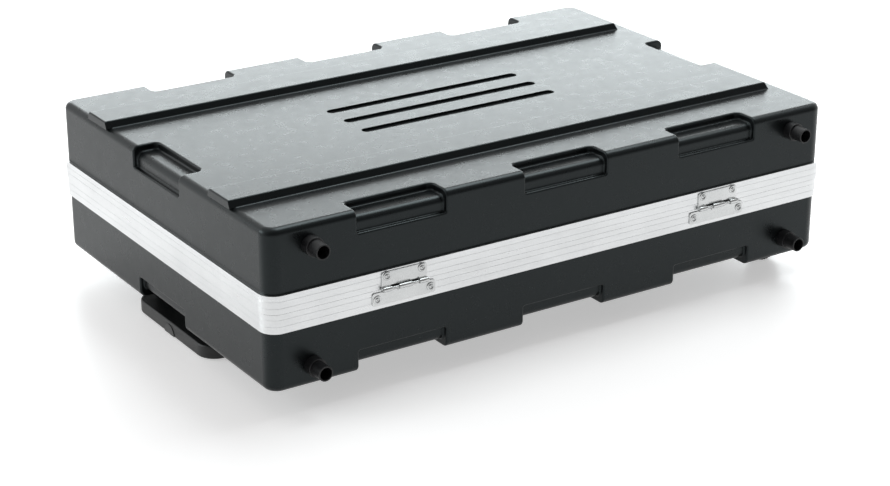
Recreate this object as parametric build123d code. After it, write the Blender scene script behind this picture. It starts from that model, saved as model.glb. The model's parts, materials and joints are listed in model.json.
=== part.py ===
"""Moulded mixer flight case with a hinged lid, latches, tow handle and wheels.

Millimetres, +Z up. The seam between lid and base is at z = 0 while the pieces
are made. The front, with latches and carry handle, faces -Y. The hinges and
bumper feet are at the back, +Y. The tow handle is at the +X end and the wheels
are at the -X end. On export everything moves so that the origin is the middle
of the underside.
"""
import os
from math import radians, tan

from build123d import *

os.makedirs("parts", exist_ok=True)

# Overall case
case_length = 850.0
case_depth = 570.0
lid_height = 104.0
base_depth = 102.0
floor_drop = 32.0
corner_radius = 22.0
shell_wall = 5.0
edge_round = 9.0
smallest_round = 1.0
smallest_corner = 4.0
cut_past = 2.0

# Aluminium valance bands
band_stand = 3.5
lid_band_height = 23.0
base_band_height = 25.0
base_band_inset = 1.0
band_web = 7.0
band_leg = 2.0
band_leg_height = 9.0
tongue_height = 2.5
tongue_width = 2.0
tongue_inset = 5.5
tongue_clear = 0.5
band_line_depth = 0.25
band_line_width = 0.8
band_line_past = 2.0
band_line_heights = (7.0, 15.5)

# Raised runners on the lid
runner_spacing = 334.0
runner_top_width = 47.0
runner_height = 9.0
runner_slope = 24.0
runner_short_end = 22.0
runner_edge = 2.0

# Plain stiffening flutes in the middle of the lid
flute_length = 300.0
flute_width = 15.0
flute_pitch = 44.0
flute_count = 3
flute_depth = 3.0

# Edge pockets
pocket_length = 124.0
pocket_pitch = 239.0
pocket_reach = 34.0
pocket_drop = 9.0
pocket_inset = 6.0
pocket_height = 28.0
pocket_arris = 9.0
pocket_corner = 8.0
pocket_edge = 2.5

# Bumper feet on the back
foot_from_end = 61.0
foot_z_lid = 77.0
foot_z_base = 76.0
foot_length = 30.0
foot_stage_radius = 12.0
foot_stage_length = 12.0
foot_tip_radius = 9.6
foot_bore_radius = 8.0
foot_bore_depth = 19.0
foot_edge = 0.6
screw_radius = 2.2
screw_hole_clear = 0.1
screw_head_radius = 4.4
screw_head_height = 3.0
screw_past_wall = 4.0
cross_length = 6.0
cross_width = 1.2
cross_depth = 1.6

# Hinges
hinge_x = 240.0
leaf_thickness = 1.5
upper_leaf_width = 63.0
upper_leaf_height = 17.5
lower_leaf_width = 88.0
lower_leaf_height = 16.5
leaf_start = 3.6
knuckle_radius = 3.2
hinge_axis_out = 3.5
end_knuckle_length = 12.0
centre_knuckle_length = 18.0
pin_radius = 1.6
pin_clear = 0.05
rivet_radius = 3.0
rivet_dome = 1.1
upper_rivet_span = 49.0
lower_rivet_span = 75.0
leaf_corner = 3.0
pin_end_rise = 0.8
pin_end_length = 1.0
pin_end_gap = 0.2
hinge_recess = 1.8
hinge_recess_height = 3.2
hinge_rivet_drop = 5.0

# Draw latches on the front
latch_x = 240.0
latch_plate_width = 48.0
latch_plate_height = 21.0
latch_plate_thick = 1.5
plate_tab = 9.0
plate_tab_height = 10.0
latch_drop = 2.0
ear_thick = 2.0
ear_out = 7.5
ear_height = 9.0
lever_width = 35.0
lever_axis_out = 4.5
lever_axis_up = 5.0
lever_height = 20.0
lever_thick = 3.0
lever_inner = 1.0
lever_tail = 3.0
lever_hub_radius = 3.2
rail_width = 4.3
rail_height = 10.0
rail_depth = 6.0
bail_width = 25.4
bail_thick = 1.8
bail_pivot_up = 10.0
bail_pin_radius = 1.2
bail_hub_radius = 1.9
bail_hook_height = 2.0
bail_hook_reach = 2.1
keeper_width = 44.0
keeper_height = 16.0
keeper_thick = 1.2
keeper_start = 3.0
lip_width = 20.0
lip_low = 8.0
lip_height = 3.0
lip_reach = 2.3
latch_clear = 0.3

# Key lock in the middle of the front
lock_width = 40.0
lock_height = 20.5
lock_out = 12.0
lock_edge = 2.0
slot_back = 2.0
slot_depth = 2.8
slot_length = 12.5
hasp_width = 36.0
hasp_height = 16.0
hasp_start = 2.5
hasp_thick = 1.5
hasp_tongue_width = 12.0
hasp_tongue_thick = 1.7
hasp_tongue_drop = 11.0
lock_tongue_clear = 0.5
cylinder_radius = 5.5
cylinder_depth = 6.0
cylinder_stand = 0.6
cylinder_z = -12.0
keyway_width = 1.4
keyway_height = 6.5
keyway_depth = 4.0

# Carry handle
handle_span = 172.0
handle_axis_z = -44.0
handle_axis_out = 8.5
handle_drop = 38.0
handle_pin_radius = 3.0
handle_arm_width = 8.5
handle_arm_depth = 9.0
handle_grip_depth = 15.0
handle_grip_height = 21.0
handle_bracket_width = 26.0
handle_bracket_height = 34.0
handle_bracket_thick = 2.0
handle_lug_thick = 6.0
handle_lug_radius = 5.0
handle_side_gap = 0.5
handle_rivet_span = 24.0

# Tow handle and its carrier below the base
tube_spread = 156.0
tube_width = 24.0
tube_height = 14.0
tube_wall = 1.5
inner_tube_wall = 1.2
tube_clear = 0.2
tube_rise = 2.0
outer_tube_length = 440.0
carrier_length = 184.0
carrier_width = 190.0
carrier_wall = 5.0
carrier_edge = 4.0
clamp_length = 26.0
grip_length = 204.0
grip_thick = 27.5
grip_height = 18.0
grip_clear_floor = 1.5
grip_corner = 26.0
grip_edge = 3.0
grip_setback = 8.5
grip_gap = 1.0
grip_socket = 10.0
button_radius = 13.0
button_length = 9.0
button_stand = 0.8
button_travel = 3.0
button_clear = 0.3
button_lift = 1.0
button_spring_radius = 2.8
button_spring_wire = 0.8
button_spring_seat = 8.0

# Wheels
wheel_radius = 31.0
wheel_width = 26.0
wheel_y = 213.0
wheel_setback = 33.5
hub_radius = 20.0
hub_width = 22.0
axle_radius = 3.0
well_length = 71.5
well_width = 46.0
well_height = 44.0
cheek_thick = 3.0
cheek_tab = 9.0
running_clear = 0.05

# Foam lining
lid_foam_thick = 25.0
floor_foam_thick = 20.0
wall_foam_thick = 25.0
foam_below_seam = 3.0
foam_clear = 0.3

# Places that follow from the sizes above
half_length = case_length / 2
half_depth = case_depth / 2
foot_x = half_length - foot_from_end
shell_face_x = half_length - band_stand
shell_face_y = half_depth - band_stand
base_band_face = half_depth - base_band_inset
floor_z = -base_depth - floor_drop
inner_inset = band_stand + shell_wall
nodes = {}


def add(name, *solids):
    """Store one named node; several solids become one group."""
    if len(solids) == 1:
        nodes[name] = solids[0]
    else:
        nodes[name] = Compound(children=list(solids))


def block(x_low, x_high, y_low, y_high, z_low, z_high):
    """Box from its lowest and highest corner."""
    size = (x_high - x_low, y_high - y_low, z_high - z_low)
    centre = ((x_low + x_high) / 2, (y_low + y_high) / 2, (z_low + z_high) / 2)
    return Pos(*centre) * Box(*size)


def outline_block(inset, z_low, z_high):
    """Block that follows the case outline, set in by a distance."""
    radius = max(corner_radius - inset, smallest_corner)
    sketch = RectangleRounded(case_length - 2 * inset, case_depth - 2 * inset, radius)
    return Pos(0, 0, z_low) * extrude(sketch, z_high - z_low)


def rod_x(x_low, x_high, y, z, radius):
    """Cylinder along X."""
    return Pos((x_low + x_high) / 2, y, z) * Rot(0, 90, 0) * Cylinder(radius, x_high - x_low)


def rod_y(x, y_low, y_high, z, radius):
    """Cylinder along Y."""
    return Pos(x, (y_low + y_high) / 2, z) * Rot(90, 0, 0) * Cylinder(radius, y_high - y_low)


def pocket_cutter(top, grow):
    """Edge pocket for a +Y edge whose corner is at y = 0, z = top, made larger by grow."""
    reach = -(pocket_reach + grow)
    floor = top - pocket_drop - grow
    side = -(pocket_inset + grow)
    bottom = top - pocket_height - grow
    arris = max(pocket_arris - grow, smallest_round)
    lift = cut_past + grow
    with BuildSketch(Plane.YZ) as sketch:
        with BuildLine():
            Polyline(
                (side - arris, floor), (reach, floor), (reach, top + lift),
                (cut_past, top + lift), (cut_past, bottom), (side, bottom), (side, floor - arris),
            )
            RadiusArc((side, floor - arris), (side - arris, floor), -arris)
        make_face()
    length = pocket_length + 2 * grow
    return Pos(-length / 2, 0, 0) * extrude(sketch.sketch, length, dir=(1, 0, 0))


def all_pockets(top, grow):
    """Three pockets on each long edge and one on each short edge."""
    cutter = pocket_cutter(top, grow)
    found = []
    for step in (-1, 0, 1):
        x = step * pocket_pitch
        found.append(Pos(x, shell_face_y, 0) * cutter)
        found.append(Pos(x, -shell_face_y, 0) * Rot(0, 0, 180) * cutter)
    found.append(Pos(shell_face_x, 0, 0) * Rot(0, 0, -90) * cutter)
    found.append(Pos(-shell_face_x, 0, 0) * Rot(0, 0, 90) * cutter)
    return found


def edges_at_pockets(body):
    """Edges of a moulded half that the pockets made."""
    half = pocket_length / 2 + smallest_round
    found = []
    for edge in body.edges():
        place = edge.center()
        along = min(abs(place.X - step * pocket_pitch) for step in (-1, 0, 1))
        on_long_side = along < half and abs(place.Y) > shell_face_y - pocket_reach - smallest_round
        on_short_side = abs(place.Y) < half and abs(place.X) > shell_face_x - pocket_reach - smallest_round
        if on_long_side or on_short_side:
            found.append(edge)
    return found


def upright_corners(edges):
    """Inner corners of the pockets, from the pocket floor up to the top face."""
    found = []
    for edge in edges:
        rise = abs(edge.position_at(1).Z - edge.position_at(0).Z)
        if abs(rise - pocket_drop) < 0.01 and abs(edge.length - pocket_drop) < 0.01:
            found.append(edge)
    return found


def moulded_half(height, grow):
    """Half of the case as a solid block with rounded top edges and edge pockets."""
    inset = band_stand + grow
    top = height - grow
    body = outline_block(inset, band_web, top)
    rim = body.faces().sort_by(Axis.Z)[-1].edges()
    body = fillet(rim, max(edge_round - grow, smallest_round))
    for cutter in all_pockets(height, grow):
        body -= cutter
    if grow == 0:
        body = body.fillet(pocket_corner, upright_corners(edges_at_pockets(body)))
        body = body.fillet(pocket_edge, edges_at_pockets(body))
    return body


def runner(side, grow):
    """Raised runner on the lid; its +X end is flush with the end wall."""
    slope_run = runner_height * tan(radians(runner_slope))
    width = runner_top_width + 2 * slope_run - 2 * grow
    x_low = -shell_face_x + runner_short_end + grow
    x_high = shell_face_x + slope_run + runner_height
    length = x_high - x_low
    base = block(
        x_low, x_high, -width / 2, width / 2, lid_height - grow - smallest_round, lid_height - grow
    )
    crown = extrude(Rectangle(length, width), runner_height, taper=runner_slope)
    crown = Pos((x_low + x_high) / 2, 0, lid_height - grow) * crown
    bar = base + crown
    return Pos(0, side * runner_spacing / 2, 0) * bar


def long_runner_edges(body):
    """Top edges of the runners and the two lines where each meets the lid."""
    top = lid_height + runner_height
    found = []
    for edge in body.edges():
        place = edge.center()
        on_top = abs(place.Z - top) < 0.01
        at_foot = abs(place.Z - lid_height) < 0.01 and edge.length > half_length
        if on_top or at_foot:
            found.append(edge)
    return found


def flute(index, grow):
    """One plain rounded groove in the middle panel."""
    y = (index - (flute_count - 1) / 2) * flute_pitch
    shape = SlotOverall(flute_length + 2 * grow, flute_width + 2 * grow)
    return Pos(0, y, lid_height - grow - flute_depth) * extrude(shape, flute_depth + grow + cut_past)


def make_lid_shell():
    outer = moulded_half(lid_height, 0)
    inner = moulded_half(lid_height, shell_wall)
    lid_prism = outline_block(band_stand, band_web, lid_height + runner_height + 1)
    inner_prism = outline_block(inner_inset, band_web, lid_height + runner_height)
    for side in (-1, 1):
        outer += runner(side, 0) & lid_prism
        inner += runner(side, shell_wall) & inner_prism
    outer = outer.fillet(runner_edge, long_runner_edges(outer))
    for index in range(flute_count):
        outer -= flute(index, 0)
        inner -= flute(index, shell_wall)
    open_rim = outline_block(inner_inset, band_web - 1, band_web + 1)
    shell = outer - inner - open_rim
    for x in (-foot_x, foot_x):
        shell -= foot_hole(x, foot_z_lid)
    return shell


def foot_hole(x, z):
    """Hole through the back wall for a foot screw."""
    radius = screw_radius + screw_hole_clear
    return rod_y(x, shell_face_y - shell_wall - 1, shell_face_y + 1, z, radius)


def wheel_well(side, grow):
    """Space cut from the base corner for a wheel; grow leaves the wall around it."""
    x_low = -shell_face_x - 2
    x_high = -shell_face_x + well_length + grow
    y = side * wheel_y
    half = well_width / 2 + grow
    return block(x_low, x_high, y - half, y + half, -base_depth - 2, -base_depth + well_height + grow)


def make_base_shell():
    flip = Rot(180, 0, 0)
    outer = flip * moulded_half(base_depth, 0)
    inner = flip * moulded_half(base_depth, shell_wall)
    for side in (-1, 1):
        outer -= wheel_well(side, 0)
        inner -= wheel_well(side, shell_wall)
    open_rim = outline_block(inner_inset, -band_web - 1, -band_web + 1)
    shell = outer - inner - open_rim
    for x in (-foot_x, foot_x):
        shell -= foot_hole(x, -foot_z_base)
    return shell


def band_ring(height, face_inset):
    """Valance band: outer face, web under the shell rim and inner leg."""
    ring = outline_block(face_inset, 0, height)
    ring -= outline_block(inner_inset + band_leg, -1, height + 1)
    slot = outline_block(band_stand, band_web, height + 1)
    slot -= outline_block(inner_inset, band_web - 1, band_web + band_leg_height)
    ring -= slot
    for line_height in band_line_heights:
        line_top = line_height + band_line_width
        groove = outline_block(face_inset - band_line_past, line_height, line_top)
        groove -= outline_block(face_inset + band_line_depth, line_height - 1, line_top + 1)
        ring -= groove
    return ring


def make_bands():
    groove = outline_block(tongue_inset - tongue_clear, -1, tongue_height + tongue_clear)
    groove_inner = tongue_inset + tongue_width + tongue_clear
    groove -= outline_block(groove_inner, -2, tongue_height + 2)
    upper = band_ring(lid_band_height, 0) - groove
    lower = Rot(180, 0, 0) * band_ring(base_band_height, base_band_inset)
    half = upper_leaf_width / 2 - end_knuckle_length
    for x in (hinge_x, -hinge_x):
        upper -= block(x - half, x + half, half_depth - hinge_recess, half_depth + 1, -1, hinge_recess_height)
        inside = base_band_face - hinge_recess
        lower -= block(x - half, x + half, inside, base_band_face + 1, -hinge_recess_height, 1)
    add("lid_valance", upper)
    tongue = outline_block(tongue_inset, -1, tongue_height)
    tongue -= outline_block(tongue_inset + tongue_width, -2, tongue_height + 1)
    add("base_valance", lower + tongue)


def rivet_y(x, face_y, z, outward):
    """Domed rivet standing on a face that looks along Y; its shank stops at the face."""
    sphere_radius = (rivet_radius ** 2 + rivet_dome ** 2) / (2 * rivet_dome)
    ball = Sphere(sphere_radius)
    cap = ball & Pos(0, 0, sphere_radius) * Box(4 * sphere_radius, 4 * sphere_radius, 2 * rivet_dome)
    turn = Rot(-90, 0, 0) if outward > 0 else Rot(90, 0, 0)
    cap = turn * Pos(0, 0, rivet_dome - sphere_radius) * cap
    return Pos(x, face_y, z) * cap


def make_foot(x, z):
    """Stepped bumper foot with a screw bore."""
    stage = rod_y(x, 0, foot_stage_length, z, foot_stage_radius)
    tip = rod_y(x, foot_stage_length - 1, foot_length, z, foot_tip_radius)
    stage = fillet(stage.faces().sort_by(Axis.Y)[-1].edges(), foot_edge)
    tip = fillet(tip.faces().sort_by(Axis.Y)[-1].edges(), foot_edge)
    foot = stage + tip
    foot -= rod_y(x, foot_length - foot_bore_depth, foot_length + 1, z, foot_bore_radius)
    foot -= rod_y(x, -1, foot_length, z, screw_radius + screw_hole_clear)
    return Pos(0, shell_face_y, 0) * foot


def make_foot_screw(x, z):
    """Pan head screw at the bottom of the foot bore."""
    seat = shell_face_y + foot_length - foot_bore_depth
    head = rod_y(x, seat, seat + screw_head_height, z, screw_head_radius)
    shank = rod_y(x, shell_face_y - shell_wall - screw_past_wall, seat + 1, z, screw_radius)
    screw = head + shank
    long_half = cross_length / 2
    short_half = cross_width / 2
    bottom = seat + screw_head_height - cross_depth
    top = seat + screw_head_height + 1
    cross = block(x - long_half, x + long_half, bottom, top, z - short_half, z + short_half)
    cross += block(x - short_half, x + short_half, bottom, top, z - long_half, z + long_half)
    return screw - cross


def make_feet():
    for name, x in (("left", foot_x), ("right", -foot_x)):
        add(f"lid_bumper_foot_{name}", make_foot(x, foot_z_lid))
        add(f"base_bumper_foot_{name}", make_foot(x, -foot_z_base))
    add("lid_foot_screws", *[make_foot_screw(x, foot_z_lid) for x in (foot_x, -foot_x)])
    add("base_foot_screws", *[make_foot_screw(x, -foot_z_base) for x in (foot_x, -foot_x)])


def leaf_plate(x, width, z_low, z_high, y_low):
    """Flat hinge leaf with rounded corners."""
    shape = RectangleRounded(width, z_high - z_low, leaf_corner)
    plate = extrude(shape, leaf_thickness)
    return Pos(x, y_low, (z_low + z_high) / 2) * Rot(-90, 0, 0) * plate


def make_hinge(name, x):
    axis_y = half_depth + hinge_axis_out
    bore = rod_x(x - lower_leaf_width, x + lower_leaf_width, axis_y, 0, pin_radius + pin_clear)
    upper = leaf_plate(x, upper_leaf_width, leaf_start, leaf_start + upper_leaf_height, half_depth)
    for side in (-1, 1):
        x_mid = x + side * (upper_leaf_width - end_knuckle_length) / 2
        x_low = x_mid - end_knuckle_length / 2
        x_high = x_mid + end_knuckle_length / 2
        upper += rod_x(x_low, x_high, axis_y, 0, knuckle_radius)
        upper += block(x_low, x_high, half_depth, half_depth + leaf_thickness, 0, leaf_start + 4)
    add(f"hinge_leaf_upper_{name}", upper - bore)
    top = -leaf_start
    lower = leaf_plate(x, lower_leaf_width, top - lower_leaf_height, top, base_band_face)
    x_low = x - centre_knuckle_length / 2
    x_high = x + centre_knuckle_length / 2
    lower += rod_x(x_low, x_high, axis_y, 0, knuckle_radius)
    lower += block(x_low, x_high, base_band_face, axis_y - 1, top - 2, -1)
    add(f"hinge_leaf_lower_{name}", lower - bore)
    half_pin = upper_leaf_width / 2
    pin = rod_x(x - half_pin, x + half_pin, axis_y, 0, pin_radius)
    for side in (-1, 1):
        start = x + side * half_pin
        near = start + side * pin_end_gap
        ends = sorted((near, near + side * pin_end_length))
        pin += rod_x(ends[0], ends[1], axis_y, 0, pin_radius + pin_end_rise)
        ends = sorted((start - side, near + side * pin_end_length / 2))
        pin += rod_x(ends[0], ends[1], axis_y, 0, pin_radius)
    add(f"hinge_pin_{name}", pin)


def make_hinges():
    make_hinge("left", hinge_x)
    make_hinge("right", -hinge_x)
    upper_z = leaf_start + upper_leaf_height - hinge_rivet_drop
    lower_z = -leaf_start - lower_leaf_height / 2
    upper = []
    lower = []
    for x in (hinge_x, -hinge_x):
        for side in (-1, 1):
            upper_x = x + side * upper_rivet_span / 2
            upper.append(rivet_y(upper_x, half_depth + leaf_thickness, upper_z, 1))
            lower_x = x + side * lower_rivet_span / 2
            lower.append(rivet_y(lower_x, base_band_face + leaf_thickness, lower_z, 1))
    add("lid_hinge_rivets", *upper)
    add("base_hinge_rivets", *lower)


# Latch places, all measured outward from the base band face
plate_face = -base_band_face - latch_plate_thick
latch_low = -latch_drop - latch_plate_height
lever_axis_y = plate_face - lever_axis_out
lever_axis_z = latch_low + lever_axis_up
bail_axis_z = lever_axis_z + bail_pivot_up
keeper_face = -half_depth - keeper_thick
lip_face = keeper_face - lip_reach
bail_inner = lip_face - latch_clear
bail_axis_y = bail_inner - bail_thick / 2
hook_low = lip_low + lip_height + latch_clear


def make_latch_plate(x):
    """Latch base plate with two ears for the lever pin."""
    half = latch_plate_width / 2
    plate = block(x - half, x + half, plate_face, -base_band_face, latch_low, -latch_drop)
    tab = half + plate_tab
    plate += block(x - tab, x + tab, plate_face, -base_band_face, latch_low, latch_low + plate_tab_height)
    ear_x = lever_width / 2 + latch_clear
    for side in (-1, 1):
        ends = sorted((x + side * ear_x, x + side * (ear_x + ear_thick)))
        y_low = plate_face - ear_out
        plate += block(ends[0], ends[1], y_low, plate_face, latch_low, latch_low + ear_height)
    return plate - rod_x(x - half, x + half, lever_axis_y, lever_axis_z, pin_radius + pin_clear)


def make_latch_lever(x):
    """Lever with a hub at its lower end and two rails beside the bail."""
    half = lever_width / 2
    outer_y = lever_axis_y - lever_inner - lever_thick
    inner_y = lever_axis_y - lever_inner
    low = lever_axis_z - lever_tail
    high = low + lever_height
    lever = block(x - half, x + half, outer_y, inner_y, low, high)
    lever += rod_x(x - half, x + half, lever_axis_y, lever_axis_z, lever_hub_radius)
    for side in (-1, 1):
        ends = sorted((x + side * (half - rail_width), x + side * half))
        lever += block(ends[0], ends[1], outer_y, outer_y + rail_depth, high - rail_height, high)
    inside = half - rail_width
    lever -= block(x - inside, x + inside, outer_y - 1, outer_y + 8, high - rail_height, high + 1)
    lever -= rod_x(x - half, x + half, lever_axis_y, lever_axis_z, pin_radius + pin_clear)
    lever -= rod_x(x - half - 1, x + half + 1, bail_axis_y, bail_axis_z, bail_pin_radius)
    return lever


def make_latch_bail(x):
    """Flat bail that reaches up and hooks over the keeper lip."""
    half = bail_width / 2
    outer_y = bail_inner - bail_thick
    top = hook_low + bail_hook_height
    bail = block(x - half, x + half, outer_y, bail_inner, bail_axis_z, top)
    bail -= block(x - half + 5, x + half - 5, outer_y - 1, bail_inner + 1, bail_axis_z + 4, lip_low)
    bail += rod_x(x - half, x + half, bail_axis_y, bail_axis_z, bail_hub_radius)
    bail += block(x - half, x + half, outer_y, bail_inner + bail_hook_reach, hook_low, top)
    return bail - rod_x(x - half, x + half, bail_axis_y, bail_axis_z, bail_pin_radius + pin_clear)


def make_keeper(x):
    """Keeper plate on the lid band with its lip."""
    half = keeper_width / 2
    top = keeper_start + keeper_height
    plate = block(x - half, x + half, keeper_face, -half_depth, keeper_start, top)
    lip_half = lip_width / 2
    lip = block(x - lip_half, x + lip_half, lip_face, keeper_face, lip_low, lip_low + lip_height)
    return plate + lip


def make_latches():
    keeper_rivets = []
    plate_rivets = []
    lever_pins = []
    for name, x in (("left", latch_x), ("right", -latch_x)):
        add(f"latch_plate_{name}", make_latch_plate(x))
        add(f"latch_lever_{name}", make_latch_lever(x))
        add(f"latch_bail_{name}", make_latch_bail(x))
        add(f"latch_keeper_{name}", make_keeper(x))
        reach = lever_width / 2 + latch_clear + ear_thick
        lever_pins.append(rod_x(x - reach, x + reach, lever_axis_y, lever_axis_z, pin_radius))
        half = lever_width / 2
        add(f"latch_bail_pin_{name}", rod_x(x - half, x + half, bail_axis_y, bail_axis_z, bail_pin_radius))
        for side in (-1, 1):
            rivet_z = keeper_start + keeper_height - rivet_radius - 1
            rivet_x = x + side * (keeper_width / 2 - rivet_radius - 1)
            keeper_rivets.append(rivet_y(rivet_x, keeper_face, rivet_z, -1))
            rivet_x = x + side * (latch_plate_width / 2 + plate_tab / 2 - 1)
            rivet_z = latch_low + plate_tab_height / 2
            plate_rivets.append(rivet_y(rivet_x, plate_face, rivet_z, -1))
    add("latch_lever_pins", *lever_pins)
    add("latch_plate_rivets", *plate_rivets)
    return keeper_rivets


def make_lock():
    """Lock body, turning cylinder and the hasp on the lid."""
    half = lock_width / 2
    top = -latch_drop
    front = -base_band_face - lock_out
    body = block(-half, half, front, -base_band_face, top - lock_height, top)
    edges = body.edges().filter_by(Axis.Y)
    body = fillet(edges, lock_edge)
    tongue_half = hasp_tongue_width / 2 + lock_tongue_clear
    slot_y = -base_band_face - slot_back
    body -= block(-tongue_half, tongue_half, slot_y - slot_depth, slot_y, top - slot_length, top + 1)
    seat = front + cylinder_depth
    body -= rod_y(0, front - 1, seat, cylinder_z, cylinder_radius + running_clear)
    add("lock_body", body)
    core = rod_y(0, front - cylinder_stand, seat, cylinder_z, cylinder_radius)
    keyway = block(
        -keyway_width / 2, keyway_width / 2, front - 2, front + keyway_depth,
        cylinder_z - keyway_height / 2, cylinder_z + keyway_height / 2,
    )
    add("lock_cylinder", core - keyway)
    hasp_half = hasp_width / 2
    plate_y = -half_depth - hasp_thick
    plate = block(-hasp_half, hasp_half, plate_y, -half_depth, hasp_start, hasp_start + hasp_height)
    tongue = hasp_tongue_width / 2
    tongue_y = plate_y - hasp_tongue_thick
    plate += block(-tongue, tongue, tongue_y, plate_y, -hasp_tongue_drop, hasp_start + hasp_height / 2)
    add("lock_hasp", plate)
    rivet_z = hasp_start + hasp_height - rivet_radius - 1
    rivet_x = hasp_half - rivet_radius - 1
    return [rivet_y(side * rivet_x, plate_y, rivet_z, -1) for side in (-1, 1)]


def make_carry_handle():
    axis_y = -shell_face_y - handle_axis_out
    half = handle_span / 2
    rivets = []
    for name, side in (("left", 1), ("right", -1)):
        x_mid = side * half
        plate_half = handle_bracket_width / 2
        face = -shell_face_y - handle_bracket_thick
        z_low = handle_axis_z - handle_bracket_height / 2
        z_high = handle_axis_z + handle_bracket_height / 2
        bracket = block(x_mid - plate_half, x_mid + plate_half, face, -shell_face_y, z_low, z_high)
        lug_half = handle_lug_thick / 2
        bracket += rod_x(x_mid - lug_half, x_mid + lug_half, axis_y, handle_axis_z, handle_lug_radius)
        y_low = axis_y
        z_half = handle_lug_radius
        bracket += block(
            x_mid - lug_half, x_mid + lug_half, y_low, face,
            handle_axis_z - z_half, handle_axis_z + z_half,
        )
        pin_hole = handle_pin_radius + running_clear
        bracket -= rod_x(x_mid - half, x_mid + half, axis_y, handle_axis_z, pin_hole)
        add(f"handle_bracket_{name}", bracket)
        for step in (-1, 1):
            rivet_z = handle_axis_z + step * handle_rivet_span / 2
            rivets.append(rivet_y(x_mid, face, rivet_z, -1))
    arm_x = half - handle_lug_thick / 2 - handle_side_gap - handle_arm_width / 2
    arm_half = handle_arm_width / 2
    pins = []
    arms = []
    low = handle_axis_z - handle_drop
    for side in (-1, 1):
        x = side * arm_x
        arm_radius = handle_arm_depth / 2
        arm = rod_x(x - arm_half, x + arm_half, axis_y, handle_axis_z, arm_radius)
        arm += block(x - arm_half, x + arm_half, axis_y - arm_radius, axis_y + arm_radius, low, handle_axis_z)
        hole = handle_pin_radius + running_clear
        arm -= rod_x(x - arm_half - 1, x + arm_half + 1, axis_y, handle_axis_z, hole)
        arms.append(arm)
        ends = sorted((x - side * (arm_half + 1), side * (half + handle_lug_thick / 2 + 1.2)))
        pins.append(rod_x(ends[0], ends[1], axis_y, handle_axis_z, handle_pin_radius))
    span = 2 * (arm_x + arm_half)
    shape = RectangleRounded(handle_grip_depth, handle_grip_height, handle_grip_depth * 0.42)
    core = extrude(RectangleRounded(handle_arm_depth, 8.0, 3.0), span)
    turn = Rot(0, 90, 0) * Rot(0, 0, 90)
    core = Pos(-span / 2, axis_y, low + 4.0) * turn * core
    bar = arms[0] + arms[1] + core
    grip_span = 2 * (arm_x - arm_half)
    grip = Pos(-grip_span / 2, axis_y, low + 4.0) * turn * extrude(shape, grip_span)
    grip -= Pos(-span / 2, axis_y, low + 4.0) * turn * extrude(RectangleRounded(handle_arm_depth, 8.0, 3.0), span)
    add("carry_handle_bar", bar)
    add("carry_handle_grip", grip)
    add("handle_pins", *pins)
    return rivets


# Tow handle places
tube_z = floor_z + tube_height / 2 + tube_rise
grip_face_x = shell_face_x - grip_setback
grip_back_x = grip_face_x - grip_thick
carrier_x_high = grip_back_x - grip_gap
carrier_x_low = carrier_x_high - carrier_length
tube_x_high = carrier_x_high - 4.0
tube_x_low = tube_x_high - outer_tube_length


def tube(x_low, x_high, y, width, height, wall):
    """Rectangular tube along X."""
    half_w = width / 2
    half_h = height / 2
    body = block(x_low, x_high, y - half_w, y + half_w, tube_z - half_h, tube_z + half_h)
    half_w -= wall
    half_h -= wall
    return body - block(x_low - 1, x_high + 1, y - half_w, y + half_w, tube_z - half_h, tube_z + half_h)


def tube_channel(x_low, x_high, y, clear):
    half_w = tube_width / 2 + clear
    half_h = tube_height / 2 + clear
    return block(x_low, x_high, y - half_w, y + half_w, tube_z - half_h, tube_z + half_h)


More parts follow.
